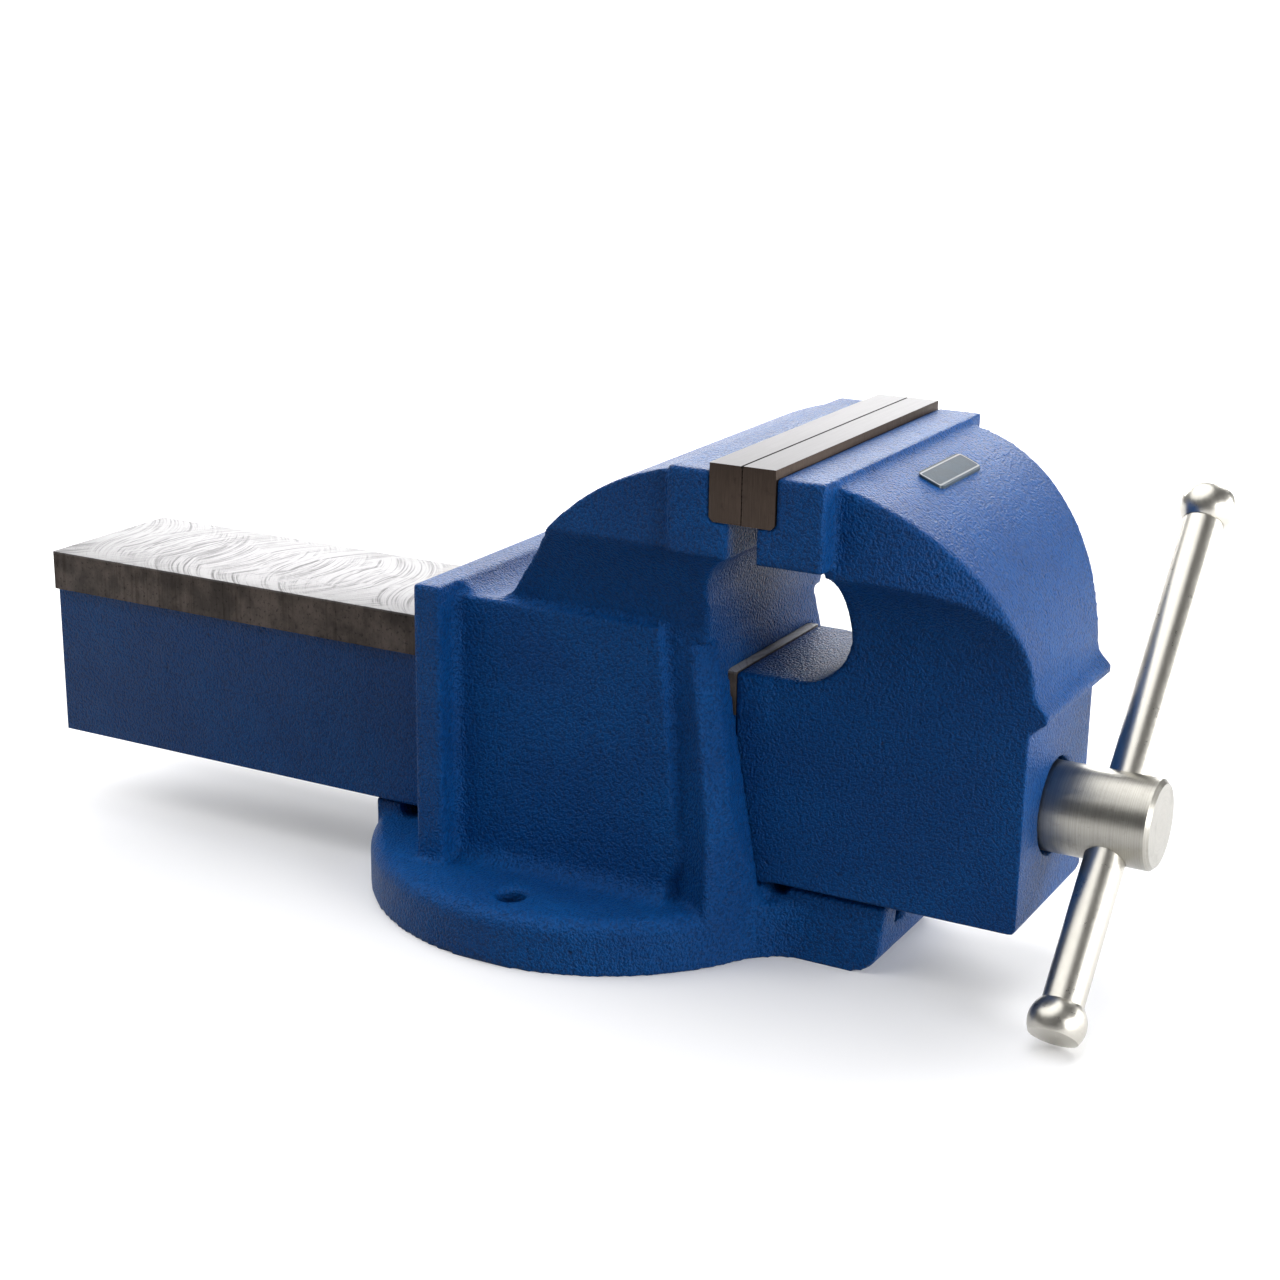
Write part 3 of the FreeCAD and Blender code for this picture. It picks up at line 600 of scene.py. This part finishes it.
class MakeFixedCasting(bpy.types.Operator):
    """Skin of the fixed jaw, walls, rail and base in one casting"""

    bl_idname = "vise.fixed_casting"
    bl_label = "Fixed casting"

    def execute(self, context):
        bm = merged_copy("fixed_body")
        piece = new_piece("fixed_casting", bm, "fixed_jaw_body", enamel("blue_enamel"))
        cast_skin(piece)
        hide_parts("fixed_body")
        return {"FINISHED"}


class MakeSlidingCasting(bpy.types.Operator):
    """Skin of the sliding jaw's head, and its machined slide"""

    bl_idname = "vise.sliding_casting"
    bl_label = "Sliding casting"

    def execute(self, context):
        sizes = context.scene.vise_castings
        head_mesh = cut_at(merged_copy("sliding_jaw"), sizes.slide_start, True)
        head = new_piece("sliding_jaw_head", head_mesh, "sliding_jaw_body",
                         enamel("blue_enamel_head"))
        cast_skin(head)
        self.clear_bore(head.data, sizes.bore_room)
        slide_mesh = flattened(cut_at(merged_copy("sliding_jaw"), sizes.slide_start, False))
        slide = new_piece("sliding_jaw_slide", slide_mesh, "sliding_jaw_body",
                          slide_finish("blue_enamel_slide"))
        break_edges(slide, SLIDE_EDGE)
        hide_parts("sliding_jaw")
        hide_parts("sliding_jaw")
        return {"FINISHED"}

    def clear_bore(self, mesh, room):
        """Keeps the head's bore clear of the screw."""
        for vertex in mesh.vertices:
            across = Vector((vertex.co.x, 0.0, vertex.co.z - SCREW_Z))
            if 1e-5 < across.length < room:
                moved = across.normalized() * room
                vertex.co.x = moved.x
                vertex.co.z = SCREW_Z + moved.z


class MakeJawPlates(bpy.types.Operator):
    """The two hardened jaw plates and their screws"""

    bl_idname = "vise.jaw_plates"
    bl_label = "Jaw plates"

    def execute(self, context):
        material = hardened_plate("hardened_plate")
        for node, body in (("fixed_jaw_plate", "fixed_jaw_body"), ("sliding_jaw_plate", "sliding_jaw_body")):
            piece = new_piece(node.replace("_plate", "_grip"), flattened(merged_copy(node)), body,
                              material)
            break_edges(piece, context.scene.vise_machined.edge_break)
            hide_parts(node)
        dress(plain_metal("black_screws", (0.03, 0.03, 0.032), 0.35, 0.8),
              "fixed_plate_screws", "sliding_plate_screws")
        return {"FINISHED"}


class MakeScrew(bpy.types.Operator):
    """Screw: turned head and journal, and the long thread"""

    bl_idname = "vise.screw"
    bl_label = "Screw"

    def execute(self, context):
        sizes = context.scene.vise_machined
        axis = (0.0, 1.0, 0.0)
        steel = turned_steel("turned_steel", axis, (0.0, HEAD_FRONT, SCREW_Z), colours().steel)
        head = new_piece("screw_head", cut_at(merged_copy("main_screw"), THREAD_START, True),
                         "screw_body", steel, 30.0)
        thread = new_piece("screw_thread", self.thread(sizes), "screw_body", steel, 30.0)
        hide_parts("main_screw")
        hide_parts("main_screw")
        dress(plain_metal("fitting_steel", (0.42, 0.41, 0.4), 0.3),
              "thrust_washer", "retaining_collar", "collar_pin", "spring_washer")
        dress(plain_metal("spring_steel", (0.16, 0.16, 0.17), 0.32), "take_up_spring")
        return {"FINISHED"}

    def thread(self, sizes):
        """Trapezoidal thread, wound as one profile along the screw and cut square at its ends."""
        lead = sizes.thread_lead
        crest = sizes.thread_radius
        root = crest - sizes.thread_depth
        bm = bmesh.new()
        outline = ((0.0, root), (0.30, root), (0.42, crest), (0.78, crest), (0.90, root), (1.0, root))
        start = THREAD_START - lead
        points = [bm.verts.new((radius, start + share * lead, 0.0)) for share, radius in outline]
        edges = [bm.edges.new(pair) for pair in zip(points, points[1:])]
        turns = math.ceil((SCREW_END - THREAD_START) / lead) + 2
        steps = 32
        bmesh.ops.spin(bm, geom=points + edges, cent=(0.0, 0.0, 0.0), axis=(0.0, 1.0, 0.0),
                       dvec=(0.0, lead / steps, 0.0), angle=2.0 * math.pi * turns,
                       steps=steps * turns, use_merge=False)
        bmesh.ops.remove_doubles(bm, verts=bm.verts, dist=2e-6)
        for y, front in ((THREAD_START + 0.00002, False), (SCREW_END - 0.00002, True)):
            cut_at(bm, y, front)
        bmesh.ops.recalc_face_normals(bm, faces=bm.faces)
        bmesh.ops.translate(bm, vec=SCREW_AXIS, verts=bm.verts)
        return bm


class MakeTommyBar(bpy.types.Operator):
    """Sliding bar and its two turned knobs"""

    bl_idname = "vise.tommy_bar"
    bl_label = "Tommy bar"

    def execute(self, context):
        tone = colours().steel
        steel = turned_steel("plated_bar", BAR_AXIS, SCREW_AXIS, tinted(tone, 1.75), 0.0012, 0.22, 0.12)
        dress(steel, "handle_bar", "upper_knob", "lower_knob")
        return {"FINISHED"}


class MakeFittings(bpy.types.Operator):
    """Nut, its screws and washers, dowels and the blank plate"""

    bl_idname = "vise.fittings"
    bl_label = "Fittings"

    def execute(self, context):
        dress(plain_metal("grey_iron", (0.2, 0.19, 0.18), 0.5, 0.7, 0.0012, 0.0003), "main_nut")
        dress(plain_metal("zinc_bolts", (0.5, 0.49, 0.46), 0.35), "nut_screws", "nut_washers")
        dress(plain_metal("dowel_steel", (0.5, 0.5, 0.5), 0.25), "nut_dowels")
        dress(badge_finish("badge_grey"), "blank_badge")
        return {"FINISHED"}


class MakeStudio(bpy.types.Operator):
    """Floor, lights and camera"""

    bl_idname = "vise.studio"
    bl_label = "Studio"

    def execute(self, context):
        studio = context.scene.vise_studio
        self.floor(context, studio)
        self.lights(context, studio)
        self.camera(context, studio)
        context.scene.view_settings.view_transform = "Standard"
        return {"FINISHED"}

    def floor(self, context, studio):
        """Wide pale floor that lights nothing from below."""
        bm = bmesh.new()
        bmesh.ops.create_grid(bm, x_segments=1, y_segments=1, size=FLOOR_HALF)
        bmesh.ops.translate(bm, vec=(0.0, 0.0, BODY_BOX[0].z), verts=bm.verts)
        mesh = bpy.data.meshes.new("floor")
        bm.to_mesh(mesh)
        bm.free()
        finish = Finish("floor_white")
        fine = finish.noise(0.02, 2.0, 0.5)
        tone = finish.blend(fine * 0.1, tuple(studio.floor_colour), tinted(studio.floor_colour, 0.97))
        reach = finish.node("VectorMath", {"operation": "LENGTH"}, {0: finish.place}, out="Value")
        glow = finish.blend(finish.rise(reach, FLOOR_NEAR, FLOOR_FAR), FLOOR_GLOW, WHITE)
        mesh.materials.append(finish.surface(
            tone, 0.9, Specular_IOR_Level=0.0, Emission_Color=glow, Emission_Strength=0.5))
        floor = bpy.data.objects.new("floor", mesh)
        context.scene.collection.objects.link(floor)
        floor.visible_diffuse = False

    def lights(self, context, studio):
        """Even room light, five soft boxes and a broad light from above."""
        world = bpy.data.worlds.new("room")
        world.use_nodes = True
        back = world.node_tree.nodes["Background"]
        back.inputs["Color"].default_value = (1.0, 1.0, 1.0, 1.0)
        back.inputs["Strength"].default_value = studio.sky
        context.scene.world = world
        target = Vector((0.0, 0.0, 0.1))
        for name, place, size, power, share in PANELS:
            lamp = bpy.data.lights.new(name, "AREA")
            lamp.shape = "RECTANGLE"
            lamp.size, lamp.size_y = size
            lamp.energy = getattr(studio, power) * share
            self.hang(context, lamp, place, target)
        sun = bpy.data.lights.new("ceiling", "SUN")
        sun.energy = studio.ceiling
        sun.angle = CEILING_SPREAD
        self.hang(context, sun, CEILING_PLACE, target)

    def hang(self, context, lamp, place, target):
        """Puts a lamp in its place, level, and turned to a target."""
        holder = bpy.data.objects.new(lamp.name, lamp)
        context.scene.collection.objects.link(holder)
        look = (target - Vector(place)).to_track_quat("-Z", "Y").to_matrix().to_4x4()
        holder.matrix_world = Matrix.Translation(place) @ look

    def camera(self, context, studio):
        """Camera from its place, heading, dip and roll."""
        heading, dip, roll = studio.heading, studio.dip, studio.roll
        ahead = Vector((math.sin(heading) * math.cos(dip), math.cos(heading) * math.cos(dip), -math.sin(dip)))
        level = Vector((math.cos(heading), -math.sin(heading), 0.0))
        upright = level.cross(ahead)
        right = level * math.cos(roll) + upright * math.sin(roll)
        above = upright * math.cos(roll) - level * math.sin(roll)
        turn = Matrix((right, above, -ahead)).transposed().to_4x4()
        lens = bpy.data.cameras.new("camera")
        lens.lens = studio.lens
        lens.sensor_width = 36.0
        lens.clip_start = 0.01
        holder = bpy.data.objects.new("camera", lens)
        holder.matrix_world = Matrix.Translation(studio.eye) @ turn
        context.scene.collection.objects.link(holder)
        context.scene.camera = holder


OPERATORS = (MakeFixedCasting, MakeSlidingCasting, MakeJawPlates, MakeScrew, MakeTommyBar,
             MakeFittings, MakeStudio)


class VisePanel(bpy.types.Panel):
    """Buttons and sizes of the vise"""

    bl_idname = "VIEW3D_PT_vise"
    bl_label = "Bench vise"
    bl_space_type = "VIEW_3D"
    bl_region_type = "UI"
    bl_category = "Bench vise"

    def draw(self, context):
        for operator in OPERATORS:
            self.layout.operator(operator.bl_idname)
        for name in PROPERTY_GROUPS:
            box = self.layout.box()
            group = getattr(context.scene, name)
            for key in group.bl_rna.properties.keys():
                if key not in ("rna_type", "name"):
                    box.prop(group, key)


def register():
    """Registers the classes and the scene's properties."""
    for name, group in PROPERTY_GROUPS.items():
        bpy.utils.register_class(group)
        setattr(bpy.types.Scene, name, bpy.props.PointerProperty(type=group))
    for made in OPERATORS + (VisePanel,):
        bpy.utils.register_class(made)


def unregister():
    """Takes them out again."""
    for made in OPERATORS + (VisePanel,):
        bpy.utils.unregister_class(made)
    for name, group in PROPERTY_GROUPS.items():
        delattr(bpy.types.Scene, name)
        bpy.utils.unregister_class(group)


def main():
    """Builds everything."""
    register()
    for operator in OPERATORS:
        group, name = operator.bl_idname.split(".")
        getattr(getattr(bpy.ops, group), name)()


if __name__ == "__main__":
    main()
